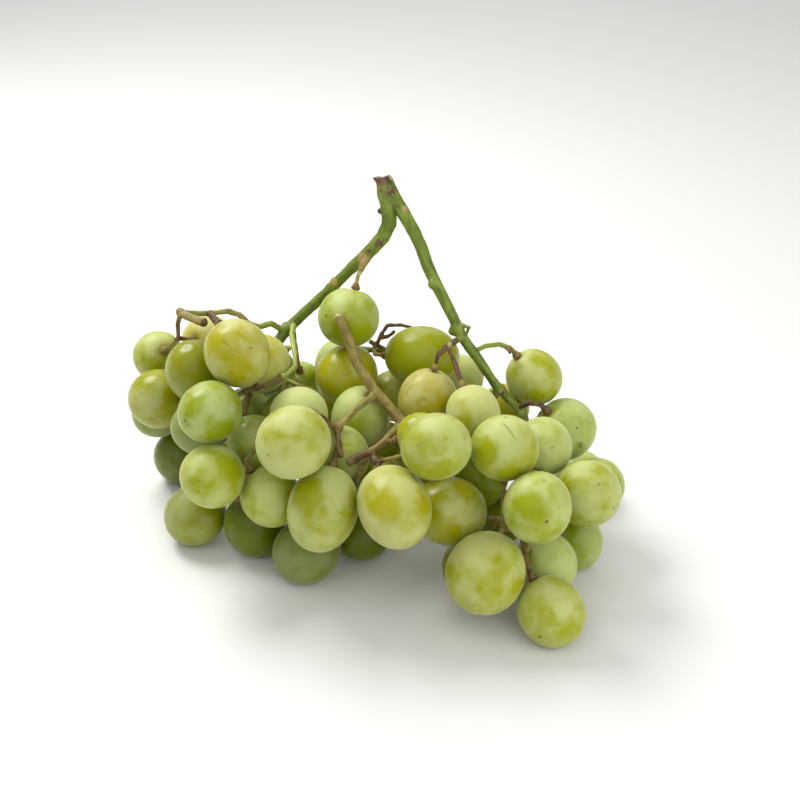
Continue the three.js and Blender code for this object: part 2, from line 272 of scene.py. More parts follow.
def make_piece(name: str, corners: np.ndarray, faces: Faces,
               numbers: dict[str, np.ndarray]) -> bpy.types.Object:
    """Makes a smooth mesh object at the origin, with numbers kept on its corners.

    Args:
        name: the object's name.
        corners: places in metres, one row each.
        faces: each face's corners.
        numbers: by the attribute's name, one value or one vector for each corner.

    Returns:
        The object, linked to the scene.
    """
    mesh = bpy.data.meshes.new(name)
    mesh.from_pydata(corners, [], faces)
    mesh.polygons.foreach_set("use_smooth", np.ones(len(mesh.polygons), bool))
    keep_numbers(mesh, numbers)
    mesh.update()
    return linked(name, mesh)


def corners_of(mesh: bpy.types.Mesh) -> np.ndarray:
    """Reads a mesh's corners as an array of places.

    Args:
        mesh: the mesh.

    Returns:
        The places in metres, one row each.
    """
    places = np.empty(len(mesh.vertices) * 3, np.float32)
    mesh.vertices.foreach_get("co", places)
    return places.reshape(-1, 3).astype(float)


def ripple(places: np.ndarray, size: float, seed: int, waves: int = 14) -> np.ndarray:
    """Works out smooth seeded noise at many places at once.

    It is the mean of sine waves in random directions, each about one size long.

    Args:
        places: points in metres, along the last axis.
        size: the waves' length in metres.
        seed: the draw's seed.
        waves: how many waves there are.

    Returns:
        A value of about -1 to 1 for each place.
    """
    draw = np.random.default_rng(seed)
    ways = unit(draw.normal(size=(waves, 3))) * 2 * np.pi / (size * draw.uniform(0.7, 1.4, (waves, 1)))
    turns = draw.uniform(0, 2 * np.pi, waves)
    return np.sin(places @ ways.T + turns).sum(-1) / math.sqrt(waves / 2) / 1.6


@dataclass(frozen=True)
class Mark:
    """A small mark on a berry, a dot where it ends as it starts, or else a scratch.

    Its ends are where they show from the front, as shares of the berry's half width to the right and
    up from its middle. Its half width is in millimetres, and brown runs from green at 0 to brown at 1.
    """

    start: tuple[float, float]
    end: tuple[float, float]
    half_width: float
    strength: float = 0.8
    brown: float = 1.0


@dataclass(frozen=True)
class Look:
    """How one berry differs from the next.

    Amber runs from green to amber flesh, wax from rubbed to waxy skin, and the painted shade from none to
    a dark green that stands in for the shade on berries low or at the back of the bunch. A patch is seen
    from the front: how far right and up from the berry's middle, and how wide, as shares of its half
    width, and then how clear it is, or how waxy below zero. Patches are partly rubbed bloom and partly
    painted light: waxy ones on highlights and lit tops, clear ones on shaded lower sides.
    """

    amber: float = 0.35
    wax: float = 0.5
    depth: float = 0.0
    patches: tuple[Spot, ...] = ()
    marks: tuple[Mark, ...] = ()



def dot(place: tuple[float, float], half_width: float, strength: float = 0.8, brown: float = 1.0) -> Mark:
    """Makes a mark that is a dot at one place."""
    return Mark(place, place, half_width, strength, brown)


NO_MARK = dot((0.0, 0.0), 0.1, 0.0)

# Each berry's amber, wax and painted shade, then its patches and its marks. The painted shade darkens berries
# that lie in shade, low or at the back of the bunch. Many waxy patches sit on highlights and lit tops as
# painted highlights, and many clear ones on lower sides as painted shade; the others are rubbed bloom.
LOOKS = {
    "berry_left_01": Look(0.28, 0.62, 0.02, ((0.2, -0.45, 0.5, 0.7), (0.0, 0.5, 0.5, -0.6))),
    "berry_left_02": Look(0.42, 0.50, 0.16, ((0.6, 0.3, 0.5, 0.9), (-0.35, 0.0, 0.5, -0.6),
        (0.1, -0.5, 0.35, 0.3)), (dot((-0.30, -0.62), 0.5), Mark((-0.62, 0.35), (-0.52, 0.12), 0.3, 0.4))),
    "berry_left_03": Look(0.42, 0.38, 0.30, ((0.2, -0.1, 0.5, 0.6), (-0.5, 0.3, 0.4, -0.4))),
    "berry_left_04": Look(0.70, 0.65, 0.0, ((-0.3, -0.2, 0.5, 0.5), (0.4, 0.4, 0.5, -0.6))),
    "berry_left_05": Look(0.60, 0.52, 0.07, ((-0.05, -0.25, 0.5, 0.8), (0.15, 0.55, 0.3, 0.5),
        (-0.55, 0.05, 0.22, 0.6), (-0.6, -0.5, 0.35, -0.8), (0.7, 0.1, 0.4, -0.5)),
        (Mark((-0.45, 0.40), (-0.15, 0.16), 0.3, 0.45), Mark((0.30, 0.10), (0.46, 0.13), 0.22, 0.7))),
    "berry_left_06": Look(0.60, 0.60, 0.0, ((0.3, 0.3, 0.5, 0.4),)),
    "berry_left_07": Look(0.30, 0.50, 0.30),
    "berry_left_08": Look(0.08, 0.62, 0.10, ((-0.45, 0.25, 0.35, 0.7), (0.3, -0.65, 0.45, 0.9),
        (0.4, 0.1, 0.4, -0.5), (-0.5, -0.45, 0.35, -0.5)), (dot((-0.73, -0.19), 0.62, 0.8, 0.45),
        dot((0.60, -0.27), 0.4, 0.35, 0.2))),
    "berry_left_09": Look(0.00, 0.75, 0.42),
    "berry_left_10": Look(0.00, 0.80, 0.35),
    "berry_left_11": Look(0.00, 0.35, 0.60),
    "berry_left_12": Look(0.22, 0.60, 0.0, ((0.6, 0.25, 0.5, 0.9), (-0.3, 0.3, 0.5, -0.5),
        (0.2, -0.6, 0.4, -0.4)), (dot((-0.33, -0.78), 0.4, 0.6),)),
    "berry_left_13": Look(0.34, 0.50, 0.32, ((0.3, 0.3, 0.5, 0.5), (-0.4, -0.3, 0.5, -0.4))),
    "berry_left_14": Look(0.00, 0.40, 0.60, ((0.3, -0.3, 0.6, 0.5),)),
    "berry_left_15": Look(0.20, 0.58, 0.0, ((0.75, 0.1, 0.45, 0.8), (-0.4, 0.0, 0.5, -0.5),
        (0.1, -0.6, 0.4, -0.4))),
    "berry_left_16": Look(0.36, 0.64, 0.05, ((-0.55, 0.2, 0.32, 0.8), (0.45, 0.15, 0.4, 0.5),
        (-0.1, -0.15, 0.35, 0.3), (0.0, 0.8, 0.4, -0.6), (0.1, -0.75, 0.5, -0.7), (0.85, -0.1, 0.3, -0.5)),
        (dot((0.60, 0.74), 0.5, 0.8), dot((-0.84, -0.4), 0.4, 0.6))),
    "berry_left_17": Look(0.25, 1.00),
    "berry_left_18": Look(0.10, 0.60, 0.0, ((0.0, 0.4, 0.5, -0.4),)),
    "berry_left_19": Look(0.00, 0.75),
    "berry_left_20": Look(0.00, 0.40, 0.15),
    "berry_left_22": Look(0.34, 0.60, 0.10, ((-0.33, 0.45, 0.5, 0.9), (-0.14, -0.4, 0.42, 0.7),
        (0.85, 0.35, 0.28, 0.7), (0.35, 0.45, 0.5, -0.8), (-0.1, -0.9, 0.5, -0.8),
        (-0.8, -0.2, 0.3, -0.5))),
    "berry_left_23": Look(0.12, 0.62, 0.54, ((0.0, 0.6, 0.4, 0.5), (-0.2, -0.5, 0.6, -0.5)),
        (dot((-0.42, -0.78), 0.6, 0.6),)),
    "berry_left_24": Look(0.10, 0.10, 0.62),
    "berry_left_25": Look(0.52, 0.64, 0.07, ((-0.26, -0.05, 0.48, 0.75), (-0.65, 0.5, 0.28, 0.7),
        (0.85, 0.0, 0.2, 0.5), (0.3, 0.5, 0.45, -0.7), (0.05, -0.8, 0.5, -0.5))),
    "berry_left_26": Look(0.20, 0.70),
    "berry_left_27": Look(0.16, 0.74, 0.0, ((0.1, -0.4, 0.5, 0.5), (-0.2, 0.6, 0.5, -0.6))),
    "berry_left_28": Look(0.50, 0.42, 0.0, ((-0.2, -0.4, 0.6, 0.6), (0.2, 0.4, 0.4, -0.3))),
    "berry_left_29": Look(0.08, 0.75),
    "berry_left_30": Look(0.10, 0.60),
    "berry_left_31": Look(0.14, 0.50, 0.03, ((0.1, -0.55, 0.6, 0.8), (0.0, 0.4, 0.6, -0.5),
        (0.85, 0.0, 0.3, -0.6)), (Mark((-0.77, 0.12), (-0.66, 0.0), 0.4, 0.8),)),
    "berry_middle_01": Look(0.32, 0.25, 0.05, ((0.1, -0.4, 0.7, 0.8), (-0.1, 0.7, 0.5, -0.5))),
    "berry_middle_02": Look(0.80, 0.58, 0.16, ((0.3, 0.0, 0.4, 0.6), (-0.6, 0.2, 0.4, -0.5)),
        (Mark((-0.80, 0.05), (-0.50, 0.46), 0.28, 0.6, 0.6), dot((-0.1, 0.0), 0.9, 0.4))),
    "berry_middle_03": Look(0.46, 0.82, 0.02, ((-0.35, -0.3, 0.4, 0.6), (0.2, 0.1, 0.4, 0.3),
        (0.0, 0.7, 0.5, -0.6))),
    # middle_04's high wax is partly painted light, which lightens a berry that lies in shade.
    "berry_middle_04": Look(0.34, 0.90),
    "berry_middle_05": Look(0.28, 0.62, 0.03, ((0.17, -0.65, 0.35, 0.7), (-0.7, -0.5, 0.3, 0.7),
        (-0.45, 0.05, 0.3, 0.35), (0.4, 0.3, 0.6, -0.5), (-0.2, 0.7, 0.4, -0.5)),
        (Mark((-0.62, 0.0), (-0.35, 0.12), 0.8, 0.3, 0.1),)),
    "berry_middle_07": Look(0.50, 0.46, 0.14, ((0.33, 0.78, 0.25, 1.2), (-0.47, -0.14, 0.26, 1.0),
        (0.05, -0.63, 0.34, 1.2), (-0.3, 0.38, 0.22, 0.6), (0.3, 0.1, 0.5, -0.6))),
    "berry_middle_08": Look(0.10, 0.00, 0.25),
    "berry_middle_09": Look(0.10, 0.00, 0.20),
    "berry_right_01": Look(0.28, 0.58, 0.03, ((-0.48, -0.18, 0.36, 1.1), (0.15, -0.77, 0.3, 0.8),
        (0.3, 0.1, 0.6, -0.5), (-0.2, 0.6, 0.5, -0.3)),
        (Mark((-0.14, 0.76), (0.33, 0.22), 0.42, 0.5, 0.0),)),
    "berry_right_02": Look(0.22, 0.80, 0.0, ((0.39, 0.56, 0.25, 0.4),),
        (Mark((-0.35, -0.72), (0.12, -0.76), 1.0, 0.8), dot((0.0, -0.66), 0.5, 0.6))),
    "berry_right_03": Look(0.02, 0.72, 0.02, ((-0.2, -0.3, 0.5, 0.5), (0.2, 0.7, 0.4, -0.5)),
        (dot((0.36, 0.06), 0.5, 0.8, 0.4), dot((0.50, -0.46), 1.4, 0.6, 0.0))),
    "berry_right_04": Look(0.20, 0.55, 0.0, ((-0.39, 0.05, 0.26, 0.9), (0.0, -0.12, 0.36, 0.5),
        (-0.78, -0.3, 0.35, 0.6), (-0.1, 0.7, 0.5, -0.5), (0.6, -0.2, 0.4, -0.4)),
        (dot((0.27, -0.38), 0.6, 0.85),)),
    "berry_right_05": Look(0.30, 0.60, 0.04, ((0.15, 0.74, 0.25, 0.5), (-0.7, 0.3, 0.3, 0.5),
        (0.1, -0.1, 0.5, -0.4)), (dot((0.78, -0.34), 0.55, 0.8), dot((0.3, -0.38), 0.3, 0.5))),
    "berry_right_06": Look(0.20, 0.60),
    "berry_right_07": Look(0.10, 0.60),
    "berry_right_08": Look(0.05, 0.62, 0.16, ((-0.2, 0.2, 0.5, 0.5),)),
    "berry_right_09": Look(0.08, 0.88, 0.0, ((-0.2, 0.1, 0.4, 0.6), (0.5, -0.2, 0.5, -0.6))),
    "berry_right_10": Look(0.40, 0.60, 0.05, ((0.12, -0.28, 0.3, 0.8), (0.85, -0.3, 0.25, 0.6),
        (0.3, 0.2, 0.3, 0.3), (-0.3, 0.4, 0.5, -0.4), (-0.9, 0.0, 0.3, 0.5))),
    "berry_right_11": Look(0.20, 0.10, 0.35),
    # right_12's small, strongly waxy patch right of its middle is a painted highlight.
    "berry_right_12": Look(0.34, 0.50, 0.0, ((-0.3, -0.2, 0.5, 0.5), (0.37, 0.12, 0.22, -1.4),
        (0.1, 0.7, 0.4, -0.4)), (dot((-0.27, -0.75), 0.8, 0.7),)),
    "berry_right_13": Look(0.34, 0.56, 0.0, ((-0.15, -0.6, 0.45, 0.8), (0.2, 0.55, 0.3, 0.5),
        (-0.4, 0.4, 0.4, -0.5))),
    "berry_right_14": Look(0.60, 0.10),
}


@dataclass(frozen=True)
class GrapeSkin:
    """The skin of a ripe white grape: thin and clear over green-gold flesh, under a waxy bloom.

    Light sinks a few millimetres into the flesh, so that a berry glows and has no hard shade. The wax
    makes it pale and dull, and where it is rubbed off, the skin is deep in colour and shines. Berries in
    shade are also darkened by painted shade, and some patches are painted highlights and painted shade.
    """

    green_flesh: str = "#8c9c0a"
    amber_flesh: str = "#b3a30c"
    # Painted shade: the dark green that berries in shade are darkened towards.
    painted_shade_green: str = "#333d0a"
    green_wax: str = "#b4c07e"
    amber_wax: str = "#cbc488"
    sheen: str = "#dbe6c4"
    green_mark: str = "#55641a"
    brown_mark: str = "#5a3f1c"
    freckle: str = "#7a7434"
    scar: str = "#5b4a26"
    collar: str = "#9a8a45"
    patch_size: float = 12 * MM
    cloud_size: float = 5 * MM
    smear_size: float = 2.2 * MM
    grain_size: float = 0.55 * MM
    freckle_space: float = 2.4 * MM
    light_depth: tuple[float, float, float] = (1.0, 0.95, 0.16)
    light_reach: float = 4.2 * MM
    patch_share: float = 0.60
    cloud_share: float = 0.45
    smear_share: float = 0.14
    clear_share: float = 0.22
    own_wax: Run = (0.0, 1.0, -0.36, 0.12)
    wax_edge: Run = (0.36, 0.72)
    wax_cover: float = 0.80
    roughness: Run = (0.0, 1.0, 0.27, 0.50)
    freckle_edge: Run = (0.05, 0.11, 1.0, 0.0)
    freckle_choice: Run = (0.68, 0.95)
    freckle_cover: float = 0.7
    mark_grain: float = 0.9 * MM
    mark_ragged: Run = (0.25, 0.75, -0.35, 0.35)
    mark_edge: Run = (0.45, 1.15, 1.0, 0.0)
    end_grain: float = 1.1 * MM
    end_ragged: Run = (0.3, 0.7, -0.35, 0.35)
    tip_scar: Run = (0.15, 0.75, 0.45, 0.0)
    stalk_collar: Run = (1.4, 2.8, 0.65, 0.0)
    grain_height: float = 0.12 * MM
    grain_strength: float = 0.12
    dent_height: float = 0.25 * MM
    dent_strength: float = 0.6

    def material(self) -> bpy.types.Material:
        """Builds the skin's material, which reads Object coordinates and the berries' own numbers.

        Returns:
            The material.
        """
        material, tree, shader = blank_material("grape_skin_waxy", {
            "IOR": 1.40, "Specular IOR Level": 0.40, "Subsurface Weight": 0.80,
            "Subsurface Radius": self.light_depth, "Subsurface Scale": self.light_reach,
            "Sheen Weight": 0.30, "Sheen Roughness": 0.30, "Sheen Tint": linear(self.sheen)})
        place = add_node(tree, "ShaderNodeTexCoord").outputs["Object"]
        amber = read_attribute(tree, "amber")
        wax = self.bloom(tree, place)
        flesh = blend_colour(tree, amber, linear(self.green_flesh), linear(self.amber_flesh))
        bloom = blend_colour(tree, amber, linear(self.green_wax), linear(self.amber_wax))
        colour = blend_colour(tree, times(tree, wax, self.wax_cover), flesh, bloom)
        # Painted shade: each berry is darkened by its own share, for the shade it lies in.
        colour = blend_colour(tree, read_attribute(tree, "depth"), colour, linear(self.painted_shade_green))
        colour = self.freckled(tree, place, colour)
        colour, height = self.marked(tree, place, colour)
        colour = self.marked_ends(tree, place, colour)

        tree.links.new(colour, shader.inputs["Base Color"])
        tree.links.new(ramp(tree, wax, *self.roughness), shader.inputs["Roughness"])
        grain = noise(tree, place, self.grain_size, detail=3.0, rough=0.6)
        relief = add_node(tree, "ShaderNodeBump", inputs={
            "Height": grain, "Strength": self.grain_strength, "Distance": self.grain_height})
        dent = add_node(tree, "ShaderNodeBump", inputs={
            "Height": height, "Strength": self.dent_strength, "Distance": self.dent_height,
            "Normal": relief.outputs["Normal"]})
        tree.links.new(dent.outputs["Normal"], shader.inputs["Normal"])
        return material

    def bloom(self, tree: Nodes, place: Socket) -> Socket:
        """Works out how much wax lies on the skin.

        Soft patches, smaller clouds and smears in them and the berry's own wax are added up, and its
        own patches are taken off. These patches are partly rubbed bloom and partly painted light: waxy
        patches that paint highlights and lit tops, and clear ones that paint shaded lower sides. A soft ramp
        turns the result into a share.

        Args:
            tree: the material's node tree.
            place: Object coordinates.

        Returns:
            The share of wax, from 0 to 1.
        """
        patches = noise(tree, place, self.patch_size, detail=1.0, bend=0.4)
        clouds = noise(tree, place, self.cloud_size, rough=0.55, bend=0.6)
        smears = noise(tree, place, self.smear_size, rough=0.6)
        total = times(tree, patches, self.patch_share)
        for more in (times(tree, clouds, self.cloud_share), times(tree, smears, self.smear_share),
                     ramp(tree, read_attribute(tree, "wax"), *self.own_wax)):
            total = math_node(tree, "ADD", total, more)
        # The berry's own patches: partly rubbed bloom, partly painted highlights and painted shade.
        clear_and_painted_light = times(tree, read_attribute(tree, "clear"), self.clear_share)
        return ramp(tree, math_node(tree, "SUBTRACT", total, clear_and_painted_light), *self.wax_edge)

    def freckled(self, tree: Nodes, place: Socket, colour: Socket) -> Socket:
        """Puts small dull freckles on some spots of a scattered pattern.

        Args:
            tree: the material's node tree.
            place: Object coordinates.
            colour: the skin's colour.

        Returns:
            The freckled colour.
        """
        cells = add_node(tree, "ShaderNodeTexVoronoi", inputs={
            "Vector": place, "Scale": 1 / self.freckle_space})
        freckle = ramp(tree, cells.outputs["Distance"], *self.freckle_edge)
        parts = add_node(tree, "ShaderNodeSeparateColor", inputs={"Color": cells.outputs["Color"]})
        chosen = times(tree, freckle, ramp(tree, parts.outputs["Red"], *self.freckle_choice))
        return blend_colour(tree, times(tree, chosen, self.freckle_cover), colour, linear(self.freckle))

    def marked(self, tree: Nodes, place: Socket, colour: Socket) -> tuple[Socket, Socket]:
        """Puts each berry's own two marks on it.

        A mark's vector is measured in its own half length and half width, so that it ends where the
        vector's length, made uneven by noise, reaches one.

        Args:
            tree: the material's node tree.
            place: Object coordinates.
            colour: the skin's colour.

        Returns:
            The marked colour, and the skin's height, which falls in a mark.
        """
        wobble = ramp(tree, noise(tree, place, self.mark_grain), *self.mark_ragged)
        height = None
        for which in ("first", "second"):
            apart = add_node(tree, "ShaderNodeVectorMath", {"operation": "LENGTH"}, {
                0: read_attribute(tree, f"{which}_mark", "Vector")}).outputs["Value"]
            share = ramp(tree, math_node(tree, "ADD", apart, wobble), *self.mark_edge)
            share = times(tree, share, read_attribute(tree, f"{which}_strength"))
            ink = blend_colour(tree, read_attribute(tree, f"{which}_brown"), linear(self.green_mark),
                               linear(self.brown_mark))
            colour = blend_colour(tree, share, colour, ink)
            height = math_node(tree, "SUBTRACT", 1.0 if height is None else height, share)
        return colour, height

    def marked_ends(self, tree: Nodes, place: Socket, colour: Socket) -> Socket:
        """Gives a berry the flower's scar at its tip and the corky ring round its stalk.

        Args:
            tree: the material's node tree.
            place: Object coordinates.
            colour: the skin's colour.

        Returns:
            The colour with both ends marked.
        """
        wobble = ramp(tree, noise(tree, place, self.end_grain), *self.end_ragged)
        tip = math_node(tree, "ADD", read_attribute(tree, "from_tip_mm"), wobble)
        stalk = math_node(tree, "ADD", read_attribute(tree, "from_stalk_mm"), wobble)
        colour = blend_colour(tree, ramp(tree, tip, *self.tip_scar), colour, linear(self.scar))
        return blend_colour(tree, ramp(tree, stalk, *self.stalk_collar), colour, linear(self.collar))


@dataclass(frozen=True)
class StemBark:
    """The skin of a grape stem: fresh and green on the main arms, drying to brown cork on the twigs.

    The green skin has a low gloss and fine streaks along each branch. Cork is dull and darker in its
    cracks, and the wood shows pale where it is broken.
    """

    green: str = "#6c7f1c"
    pale_green: str = "#97a444"
    deep_green: str = "#485a12"
    tan: str = "#958547"
    olive: str = "#73672c"
    brown: str = "#6f5433"
    dark: str = "#3f2d19"
    seat: str = "#70492a"
    scar: str = "#a98a55"
    broken: str = "#b3a878"
    streak_size: float = 1.3 * MM
    cloud_size: float = 7 * MM
    pore_space: float = 1.9 * MM
    green_streaks: Run = (0.30, 0.62)
    pale_clouds: Run = (0.48, 0.75, 0.0, 0.55)
    woody_streaks: Run = (0.36, 0.62)
    dry_streaks: Run = (0.38, 0.60)
    woody_from: Run = (0.08, 0.32)
    green_from: Run = (0.42, 0.66)
    ragged: Run = (0.3, 0.7, -0.16, 0.16)
    seat_cover: float = 0.75
    scar_cover: float = 0.85
    black_cover: float = 0.8
    broken_streaks: Run = (0.3, 0.5)
    pore_edge: Run = (0.06, 0.15, 0.5, 0.0)
    roughness: Run = (0.2, 0.7, 0.72, 0.48)
    streak_height: float = 0.22 * MM
    streak_strength: float = 0.45

    def material(self) -> bpy.types.Material:
        """Builds the bark's material, which reads Object coordinates and the stem's own numbers.

        Returns:
            The material.
        """
        material, tree, shader = blank_material("grape_stem_bark", {
            "IOR": 1.45, "Subsurface Weight": 0.12, "Subsurface Radius": (1.0, 0.9, 0.3),
            "Subsurface Scale": 1.0 * MM})
        place = add_node(tree, "ShaderNodeTexCoord").outputs["Object"]
        streaks = noise(tree, read_attribute(tree, "grain", "Vector"), self.streak_size,
                        detail=4.0, rough=0.62)
        clouds = noise(tree, place, self.cloud_size, detail=3.0, rough=0.6)
        fresh = read_attribute(tree, "fresh")

        green = blend_colour(tree, ramp(tree, streaks, *self.green_streaks), linear(self.deep_green),
                             linear(self.green))
        for share in (ramp(tree, clouds, *self.pale_clouds), read_attribute(tree, "pale")):
            green = blend_colour(tree, share, green, linear(self.pale_green))
        woody = blend_colour(tree, ramp(tree, streaks, *self.woody_streaks), linear(self.olive),
                             linear(self.tan))
        dry = blend_colour(tree, ramp(tree, streaks, *self.dry_streaks), linear(self.dark),
                           linear(self.brown))
        colour = blend_colour(tree, ramp(tree, fresh, *self.woody_from), dry, woody)
        ragged = math_node(tree, "ADD", fresh, ramp(tree, clouds, *self.ragged))
        colour = blend_colour(tree, ramp(tree, ragged, *self.green_from), colour, green)
        torn = ramp(tree, streaks, *self.broken_streaks)
        for name, cover, stain in (
                ("seat", self.seat_cover, linear(self.seat)), ("scar", self.scar_cover, linear(self.scar)),
                ("browned", 1.0, dry), ("blackened", self.black_cover, linear(self.dark)),
                ("broken", torn, linear(self.broken))):
            colour = blend_colour(tree, times(tree, read_attribute(tree, name), cover), colour, stain)
        pores = add_node(tree, "ShaderNodeTexVoronoi", inputs={"Vector": place, "Scale": 1 / self.pore_space})
        pore = ramp(tree, pores.outputs["Distance"], *self.pore_edge)
        colour = blend_colour(tree, pore, colour, linear(self.dark))

        tree.links.new(colour, shader.inputs["Base Color"])
        tree.links.new(ramp(tree, fresh, *self.roughness), shader.inputs["Roughness"])
        relief = add_node(tree, "ShaderNodeBump", inputs={
            "Height": streaks, "Strength": self.streak_strength, "Distance": self.streak_height})
        tree.links.new(relief.outputs["Normal"], shader.inputs["Normal"])
        return material


@dataclass(frozen=True)
class TablePaint:
    """Matt white paint of the table top, which only gives back soft light."""

    colour: str = "#dededb"
    roughness: float = 0.8

    def material(self) -> bpy.types.Material:
        """Builds the paint's material."""
        return blank_material("table_matt_paint", {
            "Base Color": linear(self.colour), "Roughness": self.roughness})[0]


TABLE_CUT = 0.02 * MM
FIT_UNIT = 10 * MM
STEEPEST = 0.02


@dataclass
class Oval:
    """An oval of revolution: its middle, the direction of its tip, its width and its length."""

    middle: np.ndarray
    axis: np.ndarray
    width: float
    length: float

    @classmethod
    def of_solid(cls, solid: bpy.types.Object, stem: np.ndarray) -> "Oval":
        """Finds the oval that a berry's solid was turned from.

        All corners of the solid that the table doesn't cut lie on one quadric, whose nine numbers are
        solved by least squares. The axis that differs from the other two is the berry's, and the stem is
        at the berry's foot.

        Args:
            solid: the berry's node in the frame.
            stem: the corners of the stem's node.

        Returns:
            The oval, its axis pointing from the stalk to the tip.
        """
        corners = corners_of(solid.data)
        corners = corners[corners[:, 2] > TABLE_CUT]
        origin = corners.mean(0)
        x, y, z = ((corners - origin) / FIT_UNIT).T
        terms = np.stack([x * x, y * y, z * z, 2 * x * y, 2 * x * z, 2 * y * z, 2 * x, 2 * y, 2 * z], axis=1)
        found = np.linalg.lstsq(terms, np.ones(len(x)), rcond=None)[0]
        form = np.array([[found[0], found[3], found[4]], [found[3], found[1], found[5]],
                         [found[4], found[5], found[2]]])
        offset = -np.linalg.solve(form, found[6:])
        values, ways = np.linalg.eigh(form / (1 + offset @ form @ offset))
        sizes = 2 * FIT_UNIT / np.sqrt(values)
        odd = 0 if sizes[0] - sizes[1] > sizes[1] - sizes[2] else 2
        middle, axis, length = origin + offset * FIT_UNIT, ways[:, odd], float(sizes[odd])
        ends = middle + np.outer([-0.5, 0.5], axis) * length
        near = np.linalg.norm(stem[None] - ends[:, None], axis=-1).min(1)
        return cls(middle, axis if near[0] < near[1] else -axis, float(sizes[1]), length)

    def foot(self) -> np.ndarray:
        """Gives the end where the stalk comes."""
        return self.middle - self.axis * self.length / 2

    def shown(self, across: float, up: float) -> np.ndarray:
        """Finds the place on the oval that shows at a point of its outline's disc from the front.

        Args:
            across: how far right of the middle, as a share of the half width.
            up: how far above the middle, as the same share.

        Returns:
            The place on the surface, in metres.
        """
        towards = unit(VIEWPOINT - self.middle)
        side = unit(np.cross([0.0, 0.0, 1.0], towards))
        rise = np.cross(towards, side)
        out = math.sqrt(max(1 - across * across - up * up, STEEPEST))
        way = unit(across * side + up * rise + out * towards)
        lean = float(way @ self.axis)
        slant = (lean * 2 / self.length) ** 2 + (1 - lean ** 2) * (2 / self.width) ** 2
        return self.middle + way / math.sqrt(slant)


